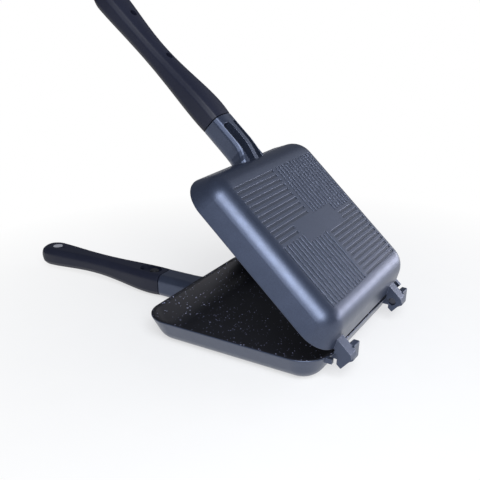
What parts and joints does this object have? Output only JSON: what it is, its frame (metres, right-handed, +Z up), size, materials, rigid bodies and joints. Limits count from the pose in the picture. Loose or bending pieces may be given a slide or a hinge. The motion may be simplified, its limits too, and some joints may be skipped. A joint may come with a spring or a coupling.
{
  "type": "stovetop sandwich toaster",
  "caption": "Hinged stovetop sandwich toaster: coated cast pan halves that close on a sandwich, each with a slotted bracket, a waisted release grip and a small magnet.",
  "frame": {"origin": "middle of the lower half's flat underside, which stands on the hob", "axes": "+X from the handle towards the hinge, +Z up, +Y across the handle along the hinge axis"},
  "size_m": [0.3271, 0.1492, 0.2454],
  "materials": {
    "coating": "satin metallic graphite-blue coating outside, near-black speckled coating inside",
    "grip": "matt",
    "button": "satin black",
    "steel": "plain",
    "magnet": "bright nickel"
  },
  "bodies": {
    "lower": {"lower_pan": "coating", "lower_tang": "steel", "lower_tang_screws": "steel", "lower_grip_shell": "grip", "lower_grip_cover": "grip", "lower_cover_screws": "steel", "lower_button_spring": "steel", "lower_magnet": "magnet", "far_hinge_pin": "steel"},
    "upper": {"upper_pan": "coating", "upper_tang": "steel", "upper_tang_screws": "steel", "upper_grip_shell": "grip", "upper_grip_cover": "grip", "upper_cover_screws": "steel", "upper_button_spring": "steel", "upper_magnet": "magnet", "near_hinge_pin": "steel"},
    "lower_button": {"lower_release_button": "button"},
    "upper_button": {"upper_release_button": "button"}
  },
  "joints": [
    {"name": "lid_hinge", "type": "hinge", "parent": "lower", "child": "upper", "pos_m": [0.07845, 0, 0.02075], "axis": [0, 1, 0], "range_deg": [-42.5, 57.5]},
    {"name": "lower_button_press", "type": "slide", "parent": "lower", "child": "lower_button", "axis": [0, 0, -1], "range_m": [0, 0.0028], "stiffness_N_per_m": 800, "springref_m": -0.002, "deforming": ["lower_button_spring"]},
    {"name": "upper_button_press", "type": "slide", "parent": "upper", "child": "upper_button", "axis": [0.6756, 0, 0.7373], "range_m": [0, 0.0028], "stiffness_N_per_m": 800, "springref_m": -0.002, "deforming": ["upper_button_spring"]}
  ]
}
